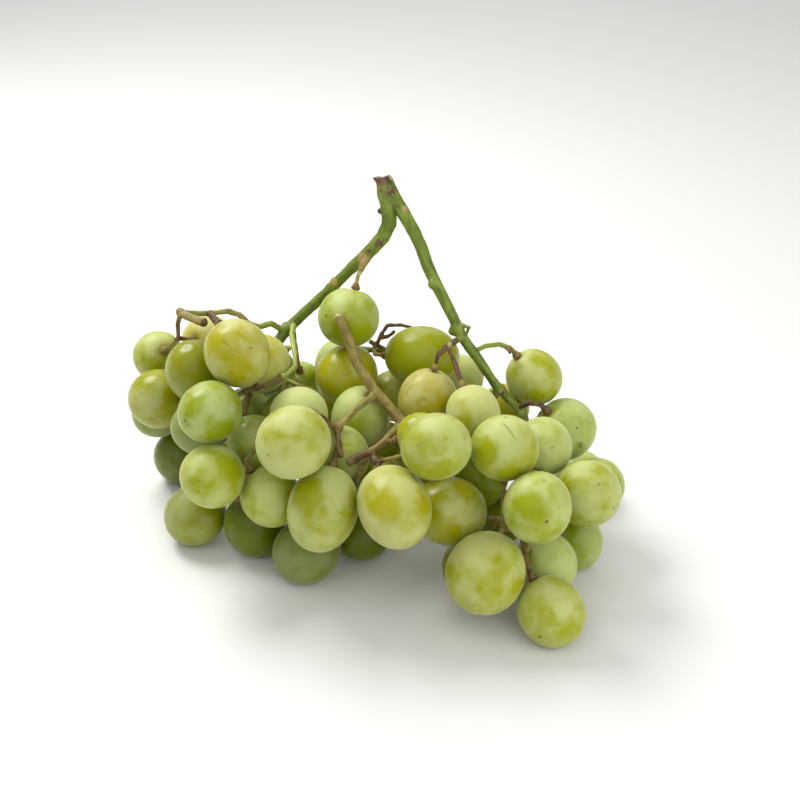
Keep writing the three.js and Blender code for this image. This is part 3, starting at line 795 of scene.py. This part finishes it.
@dataclass
class Berry:
    """One grape: a slightly uneven oval with a pit at its stalk and a dimple at its tip."""

    name: str
    oval: Oval
    seed: int
    look: Look
    rows: int = 42
    columns: int = 56
    unevenness: float = 0.010
    fuller: float = 0.96
    pit_depth: float = 0.9 * MM
    pit_width: float = 2.4 * MM
    dimple_depth: float = 0.22 * MM
    dimple_width: float = 1.2 * MM
    round_wave: float = 0.7
    long_wave: float = 0.8
    patch_grain: float = 5 * MM
    patch_ragged: float = 0.25
    patch_power: int = 4

    def surface(self) -> tuple[Grid, dict[str, Grid]]:
        """Works out the skin on a grid of turns from stalk to tip and turns round the axis.

        The height along the axis is half the length times the cosine of the first turn, and the radius
        is half the width times a power just under one of its sine. Three slow waves round and along it
        make it uneven. A bell curve of the radius sinks the pit and the dimple. What would be under the
        table is pressed flat on it.

        Returns:
            The corners, rows first and then both poles, and the numbers kept on them.
        """
        draw = np.random.default_rng(self.seed)
        turn = np.linspace(np.pi, 0, self.rows + 2)[:, None]
        round_turn = np.linspace(0, 2 * np.pi, self.columns, endpoint=False)[None, :]
        phases = draw.uniform(0, 2 * np.pi, 3)
        uneven = self.unevenness * np.sin(turn) * (
            np.sin(2 * round_turn + phases[0])
            + self.round_wave * np.sin(3 * round_turn + phases[1]) * np.sin(turn)
            + self.long_wave * np.sin(round_turn + phases[2]) * np.cos(turn))
        radius = self.oval.width / 2 * np.sin(turn) ** self.fuller * (1 + uneven)
        height = self.oval.length / 2 * np.cos(turn) + 0 * radius
        foot = np.exp(-((radius / self.pit_width) ** 2)) * (turn > np.pi / 2)
        tip = np.exp(-((radius / self.dimple_width) ** 2)) * (turn < np.pi / 2)
        height = height + self.pit_depth * foot - self.dimple_depth * tip
        first, second = square_axes(self.oval.axis)
        places = (self.oval.middle + height[..., None] * self.oval.axis
                  + (radius * np.cos(round_turn))[..., None] * first
                  + (radius * np.sin(round_turn))[..., None] * second)
        places[..., 2] = np.maximum(places[..., 2], 0)
        corners = np.concatenate([places[1:-1].reshape(-1, 3), places[0, :1], places[-1, :1]])
        reach = np.concatenate([(0 * round_turn + turn)[1:-1].ravel(), [np.pi, 0.0]])
        around = (self.oval.width + self.oval.length) / 4 / MM
        numbers = {
            "from_tip_mm": reach * around,
            "from_stalk_mm": (np.pi - reach) * around,
            # Clear and waxy patches, partly rubbed bloom and partly painted highlights and painted shade.
            "clear": self.clear_and_painted_light(corners),
        }
        # The berry's amber, wax and painted shade, the same all over it.
        same = {"amber": self.look.amber, "wax": self.look.wax, "depth": self.look.depth}
        for which, mark in zip(("first", "second"), (*self.look.marks, NO_MARK, NO_MARK)):
            numbers[f"{which}_mark"] = self.from_mark(corners, mark)
            same |= {f"{which}_strength": mark.strength, f"{which}_brown": mark.brown}
        numbers |= {key: np.full(len(corners), value) for key, value in same.items()}
        return corners, numbers

    def clear_and_painted_light(self, corners: np.ndarray) -> np.ndarray:
        """Works out how clear the berry's own patches make its skin, as rubbed bloom and as painted light.

        Each patch is a bell curve of the distance from its middle, which a wave makes uneven. Waxy patches
        over highlights and lit tops are painted highlights, and clear ones on lower sides are painted shade.

        Args:
            corners: the skin's corners.

        Returns:
            A value for each corner, above zero where clear and below it where waxy.
        """
        total = np.zeros(len(corners))
        uneven = 1 + self.patch_ragged * ripple(corners, self.patch_grain, self.seed)
        # Waxy patches on highlights and lit tops paint highlights; clear ones on lower sides paint shade.
        for across, up, radius, clear in self.look.patches:
            apart = np.linalg.norm(corners - self.oval.shown(across, up), axis=1)
            share = apart * uneven / (radius * self.oval.width / 2)
            total += clear * np.exp(-(share ** self.patch_power))
        return total

    def from_mark(self, corners: np.ndarray, mark: Mark) -> np.ndarray:
        """Measures each corner from a mark, in the mark's half lengths along, across and through it.

        Args:
            corners: the skin's corners.
            mark: the mark.

        Returns:
            A vector for each corner, which is straight from corner to corner.
        """
        start, end = self.oval.shown(*mark.start), self.oval.shown(*mark.end)
        middle, wide = (start + end) / 2, mark.half_width * MM
        through = unit(middle - self.oval.middle)
        along = unit(end - start) if mark.start != mark.end else square_axes(through)[0]
        across = unit(np.cross(through, along))
        long = max(float(np.linalg.norm(end - start)) / 2, wide)
        deep = max(2 * wide, long)
        offset = corners - middle
        return np.stack([offset @ along / long, offset @ across / wide, offset @ through / deep], axis=1)

    def build(self, skin: bpy.types.Material) -> bpy.types.Object:
        """Makes the berry and sets it in the frame in place of its solid.

        Args:
            skin: the skin's material.

        Returns:
            The finished piece.
        """
        corners, numbers = self.surface()
        made = make_piece(f"{self.name}_fruit", corners, grid_faces(self.rows, self.columns), numbers)
        made.data.materials.append(skin)
        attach(made, BODY)
        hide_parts(self.name)
        return made


@dataclass
class Limb:
    """A stretch of the stem: how fresh it is from brown at 0 to green at 1, its radius, and its route.

    The radius and the route are in millimetres, and pale is how much of its green is the pale one.
    """

    fresh: tuple[float, float]
    girth: float
    route: list[tuple[float, float, float]]
    pale: float = 0.0

    def nearness(self, places: np.ndarray) -> tuple[np.ndarray, np.ndarray, np.ndarray]:
        """Measures how far places are from the limb's surface, and what it is like beside them.

        Args:
            places: points in metres.

        Returns:
            Each place's distance from the surface, the freshness at its nearest point, and that point.
        """
        route = np.array(self.route) * MM
        starts, spans = route[:-1], np.diff(route, axis=0)
        share = ((places[:, None] - starts) * spans).sum(-1) / (spans * spans).sum(-1)
        share = np.clip(share, 0, 1)
        nearest = starts + share[..., None] * spans
        apart = np.linalg.norm(places[:, None] - nearest, axis=-1)
        which = apart.argmin(1)
        rows = np.arange(len(places))
        run = (which + share[rows, which]) / len(spans)
        fresh = self.fresh[0] + (self.fresh[1] - self.fresh[0]) * run
        return apart[rows, which] - self.girth * MM, fresh, nearest[rows, which]


LIMBS = [
    Limb((1.0, 0.95), 2.5, [(5, 49.5, 117), (5.5, 46, 111.5), (7, 44, 105.5), (5.5, 43, 100), (0.5, 42, 94),
        (-6.5, 42, 87)]),
    Limb((0.95, 0.85), 1.9, [(-4, 42, 89.5), (-14.5, 42, 78.5), (-24, 41.5, 69.5), (-30, 39.5, 64),
        (-37, 32, 55)]),
    Limb((1.0, 0.9), 2.0, [(5, 49.5, 117), (12.5, 41, 106), (20, 30.5, 92), (24.5, 25, 84.5),
        (28.5, 19, 78.5), (31, 16, 73.5), (35, 14.5, 68.5)]),
    Limb((0.9, 0.65), 1.5, [(35, 14.5, 68.5), (40, 12.5, 61.5), (44.5, 11.5, 55), (49, 11, 50.5),
        (53, 11.5, 45)]),
    Limb((0.6, 0.4), 1.2, [(-37, 32, 55), (-45.5, 20, 48), (-48.5, 10, 44.5), (-48.5, 0, 31.5),
        (-47, -4.5, 26)]),
    Limb((0.5, 0.3), 0.9, [(-48.5, 2, 34.5), (-47.5, -6, 36), (-43.5, -12, 40), (-37, -13, 47.5)]),
    Limb((0.6, 0.4), 1.0, [(-31.5, 39.5, 64.5), (-37, 36, 68), (-42, 32, 70), (-46.5, 28.5, 77),
        (-57, 25.5, 77.5), (-64.5, 25.5, 78)], 0.3),
    Limb((0.25, 0.1), 0.9, [(-64.5, 25.5, 78), (-65.5, 23.5, 74), (-65.5, 23, 69.5)]),
    Limb((0.5, 0.4), 1.4, [(-64.5, 25.5, 77.5), (-60, 21, 78), (-55, 16.5, 78.5)], 0.3),
    Limb((0.15, 0.05), 1.0, [(-55, 25.5, 77.5), (-52.5, 22, 77.5), (-50.5, 19, 76.5)]),
    Limb((0.9, 0.8), 1.0, [(-27.5, 40, 67), (-28, 30, 63), (-28, 20, 62), (-29.5, 12, 60)], 0.9),
    Limb((0.25, 0.1), 0.8, [(-29.5, 12, 60), (-36, 6.5, 60.5), (-41.5, 3.5, 59.5)]),
    Limb((0.35, 0.2), 0.8, [(-29.5, 12, 60), (-29, 9.5, 58), (-30, 9, 55.5)]),
    Limb((0.7, 0.3), 0.7, [(-29.5, 12, 60), (-25, 9, 59), (-19.5, 11.5, 55.5), (-15, 11, 51)], 0.4),
    Limb((0.4, 0.25), 1.3, [(-0.6, 40.7, 91.8), (-4, 38, 86.5), (-5.5, 36.5, 83)]),
    Limb((0.25, 0.3), 1.7, [(44.5, 11.5, 55), (36.5, 19, 46.5), (28, 19, 42.5), (21.5, 12.5, 41.5),
        (11.5, -2, 50)]),
    Limb((0.26, 0.42), 1.75, [(11.5, -2, 50), (2.5, 5, 58), (-5.5, 13.5, 68.5), (-8, 17, 74.5),
        (-10.5, 19.5, 79.5)]),
    Limb((0.42, 0.3), 1.1, [(2.5, 5, 58), (-5.5, -4.5, 56), (-10.5, -10.5, 53.5)]),
    Limb((0.25, 0.1), 0.9, [(-10.5, -10.5, 53.5), (-15, -16, 61.5)]),
    Limb((0.22, 0.12), 0.9, [(-10.5, -10.5, 53.5), (-10, -16.5, 51), (-8.5, -20.5, 48.5)]),
    Limb((0.34, 0.12), 1.3, [(11.5, -2, 50), (5.5, -10, 48), (0.5, -16, 48), (-6.5, -21, 46.5)]),
    Limb((0.10, 0.05), 1.1, [(1, -15, 47.5), (2, -18, 46.5), (3, -20, 46.5)]),
    Limb((0.75, 0.65), 1.0, [(12, 40.5, 48), (6, 42.5, 53), (-4, 41.5, 57.5), (-15.5, 41.5, 51.5)]),
    Limb((0.10, 0.0), 0.7, [(1, 40, 57), (3, 40, 61), (7, 40.5, 66), (15.5, 40, 64.5)]),
    Limb((0.10, 0.0), 0.7, [(3, 40, 60.5), (6, 39.5, 61.5), (8.5, 39.5, 63.5)]),
    Limb((0.16, 0.06), 0.9, [(29, 13.4, 73.4), (25.5, 10.5, 72), (23, 10.5, 69.5)]),
    Limb((0.08, 0.06), 0.8, [(26.5, 12, 72), (28, 9, 69), (29.5, 5.5, 65.5)]),
    Limb((0.95, 0.9), 0.8, [(29.5, 18.5, 77.5), (33.5, 15, 77.5), (33, 14.5, 74.5), (31.5, 15.5, 72)]),
    Limb((0.9, 0.5), 0.85, [(35, 14.5, 68.5), (38, 18, 68.5), (42.5, 21, 68), (46.5, 23.5, 66.5),
        (48.5, 25, 64.5)], 0.5),
    Limb((0.3, 0.1), 0.7, [(47, 23.5, 66.5), (48, 19.5, 65.5)]),
    Limb((0.15, 0.05), 0.85, [(44.5, 11.5, 55), (40.5, 10.5, 51.5)]),
    Limb((0.10, 0.05), 0.85, [(50.5, 11, 48.5), (53.5, 8.5, 52), (58.5, 11.5, 49.5)]),
    Limb((0.6, 0.15), 1.1, [(53, 11.5, 45), (58.5, 9, 31), (58.5, -5.5, 23.5), (49.5, -21.5, 22),
        (51, -41.5, 20)]),
]


@dataclass
class Stem:
    """The whole stem: its solid made round and smooth, with knots, seats, splinters, scars and stains."""

    name: str = "stem"
    grain: float = 0.40 * MM
    smoothing: int = 4
    smoothing_share: float = 0.5
    swelling: float = 0.16 * MM
    green_lumps: float = 0.05 * MM
    cork_lumps: float = 0.15 * MM
    grain_squeeze: float = 0.75
    seat_radius: float = 1.55 * MM
    seat_height: float = 1.5 * MM
    seat_sunk: float = 0.50 * MM
    seat_stain: float = 2.2 * MM
    seat_rim: float = 0.75
    seat_closing: float = 0.26
    stalk_share: float = 0.40
    seat_swell: float = 1.6
    seat_lobes: float = 0.07
    knot_lobes: float = 0.12
    splinter_tip: float = 0.18
    lump_size: float = 6 * MM
    small_lump_size: float = 2.0 * MM
    small_lumps: float = 0.7
    cork_below: float = 0.6
    stray_fresh: float = 0.30
    limb_reach: float = 3.0 * MM
    limb_fade: float = 2 * MM
    spot_ragged: float = 0.22
    spot_grain: float = 1.5 * MM
    spot_edge: float = 0.45
    knots: list[Spot] = field(default_factory=lambda: [
        (29.7, 17.3, 75.6, 2.5), (28.3, 17.3, 75.2, 1.7), (44.2, 11.6, 55.6, 2.0), (-30.0, 39.6, 64.6, 2.3),
        (-10.2, -10.2, 53.8, 1.8), (11.5, -1.8, 50.0, 2.3), (2.4, 5.0, 58.0, 2.0), (-64.4, 25.4, 78.0, 1.5),
        (-29.4, 12.0, 60.2, 1.5), (-50.6, 19.2, 76.6, 1.5), (52.0, 11.4, 46.6, 1.9), (3.6, 44.0, 107.4, 1.0),
        (-12.4, 42.3, 81.6, 1.6), (-14.4, 42.3, 79.4, 1.5), (11.2, 42.2, 108.2, 2.1), (21.8, 27.2, 88.0, 2.0),
        (28.2, 12.6, 73.0, 1.2)])
    splinters: list[Run] = field(default_factory=lambda: [
        (3.8, 48.8, 116.4, 0.6, 49.0, 117.6, 1.3), (6.4, 49.0, 116.2, 6.9, 49.4, 118.6, 1.1),
        (-9.8, 19.0, 78.6, -11.6, 19.8, 80.6, 0.9)])
    stains: dict[str, list[Spot]] = field(default_factory=lambda: {
        "broken": [(-10.6, 19.6, 79.9, 1.6), (6.9, 48.6, 117.6, 1.4), (26.6, 11.2, 72.9, 1.0),
                   (-4.2, 38.2, 87.0, 1.6)],
        "scar": [(11.9, 41.2, 109.0, 1.5), (-2.4, 40.3, 92.2, 2.4), (-12.6, 41.0, 82.0, 1.6),
                 (-4.9, 37.0, 84.5, 1.2)],
        "browned": [(4.4, 47.4, 117.4, 3.8), (5.0, 46.4, 113.6, 2.7), (7.4, 45.4, 113.8, 2.2),
                    (2.8, 40.3, 96.8, 1.7), (-0.2, 40.2, 94.2, 1.0), (9.6, 42.2, 109.8, 1.2),
                    (-55.0, 16.2, 78.5, 2.2), (-52.0, 22.0, 77.6, 1.9), (-28.6, 39.0, 68.8, 1.3)],
        "blackened": [(0.8, 48.8, 117.6, 1.6), (3.2, 43.6, 107.6, 1.2), (14.6, 38.8, 104.6, 0.8),
                      (15.8, 37.2, 102.2, 0.8), (16.8, 35.6, 99.6, 0.7), (-14.6, 42.6, 80.0, 1.2),
                      (-16.4, 42.4, 78.0, 0.9), (-7.0, 42.4, 88.4, 0.8), (45.0, 9.6, 55.0, 1.1),
                      (27.6, 8.8, 69.4, 0.8)]})

    def seat_surface(self, oval: Oval) -> tuple[Grid, Faces]:
        """Works out the swollen seat at a berry's foot, on a grid along and round the berry's axis.

        Its radius runs from the stalk's to the seat's as a quarter of a sine, and closes over a rounded
        rim, which sits in the berry's pit.

        Args:
            oval: the berry's oval.

        Returns:
            The seat's corners and faces.
        """
        rows, columns = 9, 14
        run = np.linspace(0, 1, rows)[:, None]
        turn = np.linspace(0, 2 * np.pi, columns, endpoint=False)[None, :]
        rising = np.sin(np.clip(run / self.seat_rim, 0, 1) * np.pi / 2) ** self.seat_swell
        swell = self.stalk_share + (1 - self.stalk_share) * rising
        closing = np.sqrt(np.clip(1 - ((run - self.seat_rim) / self.seat_closing) ** 2, 0.04, 1))
        lobes = 1 + self.seat_lobes * np.sin(5 * turn + oval.middle[0] / MM)
        radius = self.seat_radius * swell * closing ** (run > self.seat_rim) * lobes
        height = -self.seat_height + run * (self.seat_height + self.seat_sunk)
        first, second = square_axes(oval.axis)
        places = (oval.foot() + (height + 0 * radius)[..., None] * oval.axis
                  + (radius * np.cos(turn))[..., None] * first + (radius * np.sin(turn))[..., None] * second)
        ends = [oval.foot() + oval.axis * height[i, 0] for i in (0, -1)]
        return np.concatenate([places.reshape(-1, 3), np.array(ends)]), grid_faces(rows, columns)

    def knot_surface(self, knot: Spot) -> tuple[Grid, Faces]:
        """Works out a knot: a ball whose radius a slow wave makes uneven.

        Args:
            knot: its middle and its radius, in millimetres.

        Returns:
            The knot's corners and faces.
        """
        rows, columns = 9, 14
        turn = np.linspace(np.pi, 0, rows + 2)[1:-1, None]
        around = np.linspace(0, 2 * np.pi, columns, endpoint=False)[None, :]
        radius = knot[3] * MM * (1 + self.knot_lobes * np.sin(3 * around + knot[0]) * np.sin(turn))
        ball = np.stack([radius * np.sin(turn) * np.cos(around), radius * np.sin(turn) * np.sin(around),
                         knot[3] * MM * np.cos(turn) + 0 * around], axis=-1).reshape(-1, 3)
        poles = np.array([[0, 0, -knot[3] * MM], [0, 0, knot[3] * MM]])
        return np.concatenate([ball, poles]) + np.array(knot[:3]) * MM, grid_faces(rows, columns)

    def splinter_surface(self, splinter: Run) -> tuple[Grid, Faces]:
        """Works out a splinter: its radius falls to a blunt point as a quarter of a cosine.

        Args:
            splinter: its foot, its point and its radius, in millimetres.

        Returns:
            The splinter's corners and faces.
        """
        rows, columns = 8, 10
        foot, point = np.array(splinter[:3]) * MM, np.array(splinter[3:6]) * MM
        run = np.linspace(0, 1, rows)[:, None, None]
        turn = np.linspace(0, 2 * np.pi, columns, endpoint=False)[None, :, None]
        first, second = square_axes(unit(point - foot))
        radius = splinter[6] * MM * np.maximum(np.cos(run * np.pi / 2), self.splinter_tip)
        places = foot + run * (point - foot) + radius * (np.cos(turn) * first + np.sin(turn) * second)
        return np.concatenate([places.reshape(-1, 3), foot[None], point[None]]), grid_faces(rows, columns)

    def grown_mesh(self, ovals: list[Oval]) -> bpy.types.Mesh:
        """Joins the solid, its knots, splinters and seats, and remeshes them into one smooth skin.

        Args:
            ovals: the berries' ovals.

        Returns:
            The joined mesh.
        """
        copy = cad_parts[self.name].data.copy()
        shape = bmesh.new()
        shape.from_mesh(copy)
        bmesh.ops.remove_doubles(shape, verts=shape.verts, dist=0.002 * MM)
        added = [self.seat_surface(oval) for oval in ovals]
        added += [self.knot_surface(knot) for knot in self.knots]
        added += [self.splinter_surface(splinter) for splinter in self.splinters]
        for corners, faces in added:
            verts = [shape.verts.new(corner) for corner in corners]
            for face in faces:
                shape.faces.new([verts[i] for i in face])
        shape.to_mesh(copy)
        shape.free()
        rough = linked("stem_rough", copy)
        remesh = rough.modifiers.new("skin", "REMESH")
        remesh.mode = "VOXEL"
        remesh.voxel_size = self.grain
        smooth = rough.modifiers.new("smooth", "SMOOTH")
        smooth.factor = self.smoothing_share
        smooth.iterations = self.smoothing
        evaluated = rough.evaluated_get(bpy.context.evaluated_depsgraph_get())
        grown = bpy.data.meshes.new_from_object(evaluated)
        bpy.data.objects.remove(rough)
        return grown

    def swell(self, mesh: bpy.types.Mesh, fresh: np.ndarray) -> None:
        """Gives back the girth that smoothing took, and adds low lumps, along the mesh's normals.

        Args:
            mesh: the joined mesh, which is changed.
            fresh: how fresh each corner is, because cork is lumpier than green skin.
        """
        normals = np.empty(len(mesh.vertices) * 3, np.float32)
        mesh.vertex_normals.foreach_get("vector", normals)
        places = corners_of(mesh)
        corky = np.clip(1 - fresh / self.cork_below, 0, 1)
        lumps = self.green_lumps + (self.cork_lumps - self.green_lumps) * corky
        waves = ripple(places, self.lump_size, SEED)
        waves = waves + self.small_lumps * ripple(places, self.small_lump_size, SEED + 1)
        lift = self.swelling + lumps * waves
        places = places + normals.reshape(-1, 3) * lift[:, None]
        mesh.vertices.foreach_set("co", places.astype(np.float32).ravel())
        mesh.update()

    def stained(self, places: np.ndarray, spots: np.ndarray) -> np.ndarray:
        """Works out how much each place is inside any of some round spots with uneven edges.

        Args:
            places: points in metres.
            spots: the spots' middles and radii in metres.

        Returns:
            A value from 0 outside to 1 well inside.
        """
        apart = np.linalg.norm(places[:, None] - spots[None, :, :3], axis=-1) / spots[None, :, 3]
        wobble = self.spot_ragged * ripple(places, self.spot_grain, SEED + 2)
        share = np.clip((1.0 + wobble - apart.min(1)) / self.spot_edge, 0, 1)
        return share * share * (3 - 2 * share)

    def build(self, ovals: list[Oval], bark: bpy.types.Material) -> bpy.types.Object:
        """Makes the stem and sets it in the frame in place of its solid.

        Args:
            ovals: the berries' ovals.
            bark: the bark's material.

        Returns:
            The finished piece.
        """
        mesh = self.grown_mesh(ovals)
        mesh.name = "stem_wood"
        places = corners_of(mesh)
        near = [limb.nearness(places) for limb in LIMBS]
        apart = np.stack([distance for distance, _, _ in near])
        best, rows = apart.argmin(0), np.arange(len(places))
        fresh = np.stack([value for _, value, _ in near])[best, rows]
        axis_place = np.stack([place for _, _, place in near])[best, rows]
        on_limb = np.clip((self.limb_reach - apart[best, rows]) / self.limb_fade, 0, 1)
        fresh = self.stray_fresh + (fresh - self.stray_fresh) * on_limb
        self.swell(mesh, fresh)
        feet = np.array([(*oval.foot(), self.seat_stain) for oval in ovals])
        keep_numbers(mesh, {
            "fresh": fresh,
            "pale": np.array([limb.pale for limb in LIMBS])[best] * on_limb,
            "grain": places - self.grain_squeeze * axis_place,
            "seat": self.stained(places, feet),
            **{name: self.stained(places, np.array(spots) * MM) for name, spots in self.stains.items()},
        })
        mesh.polygons.foreach_set("use_smooth", np.ones(len(mesh.polygons), bool))
        mesh.materials.clear()
        mesh.materials.append(bark)
        made = linked("stem_wood", mesh)
        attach(made, BODY)
        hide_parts(self.name)
        return made


class Light(Enum):
    """The studio's soft lights: direction from the bunch, distance and width in metres, and watts."""

    KEY = ((-0.48, 0.40, 0.78), 0.7, 0.36, 4.6)
    FILL = ((0.9, -0.8, 0.45), 0.7, 0.9, 3.0)
    FRONT = ((-0.2, -0.8, 1.0), 0.7, 1.0, 2.3)
    BACK = ((0.0, 0.80, 0.60), 2.2, 2.0, 14.0)


@dataclass
class Studio:
    """The table, the soft light and the camera at the angle judged from the photograph."""

    sight: tuple[float, float, float] = (10.3 * MM, 13.3 * MM, 50.5 * MM)
    tilt: float = math.radians(30)
    distance: float = 450 * MM
    lens: float = 59.0
    table_width: float = 6.0
    room_light: float = 0.37

    def add_camera(self) -> bpy.types.Object:
        """Adds the camera, which looks down on the bunch's middle from the front.

        Returns:
            The camera.
        """
        data = bpy.data.cameras.new("camera")
        data.lens = self.lens
        camera = linked("camera", data)
        forward = Vector((0, math.cos(self.tilt), -math.sin(self.tilt)))
        camera.location = Vector(self.sight) - forward * self.distance
        camera.rotation_euler = forward.to_track_quat("-Z", "Y").to_euler()
        bpy.context.scene.camera = camera
        return camera

    def add_light(self, light: Light) -> None:
        """Adds one round soft light that faces the bunch's middle.

        Args:
            light: which light.
        """
        way, distance, width, power = light.value
        data = bpy.data.lights.new(light.name.lower(), "AREA")
        data.shape = "DISK"
        data.size = width
        data.energy = power
        lamp = linked(light.name.lower(), data)
        towards = Vector(way).normalized()
        lamp.location = Vector(self.sight) + towards * distance
        lamp.rotation_euler = (-towards).to_track_quat("-Z", "Y").to_euler()

    def add_table(self) -> None:
        """Adds the table top under the bunch."""
        half = self.table_width / 2
        corners = np.array([(-half, -half, 0), (half, -half, 0), (half, half, 0), (-half, half, 0)])
        table = make_piece("table", corners, [(0, 1, 2, 3)], {})
        table.data.materials.append(TablePaint().material())

    def add_room_light(self) -> None:
        """Fills the room with even white light."""
        world = bpy.data.worlds.new("room")
        world.use_nodes = True
        background = world.node_tree.nodes["Background"]
        background.inputs["Color"].default_value = (1, 1, 1, 1)
        background.inputs["Strength"].default_value = self.room_light
        bpy.context.scene.world = world

    def build(self) -> None:
        """Sets up the whole studio."""
        self.add_camera()
        for light in Light:
            self.add_light(light)
        self.add_table()
        self.add_room_light()
        bpy.context.scene.view_settings.view_transform = "Standard"


def main() -> None:
    """Builds the studio, the berries and the stem, and logs each piece."""
    logging.basicConfig(level=logging.INFO, format="%(name)s: %(message)s")
    Studio().build()
    wood = corners_of(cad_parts["stem"].data)
    names = sorted(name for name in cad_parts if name.startswith("berry_"))
    ovals = [Oval.of_solid(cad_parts[name], wood) for name in names]
    skin = GrapeSkin().material()
    for i, (name, oval) in enumerate(zip(names, ovals)):
        made = Berry(name, oval, SEED + i, LOOKS.get(name, Look())).build(skin)
        log.info("%s: %.1f mm wide, %.1f mm long", made.name, oval.width / MM, oval.length / MM)
    made = Stem().build(ovals, StemBark().material())
    log.info("%s: %d faces", made.name, len(made.data.polygons))


if __name__ == "__main__":
    main()
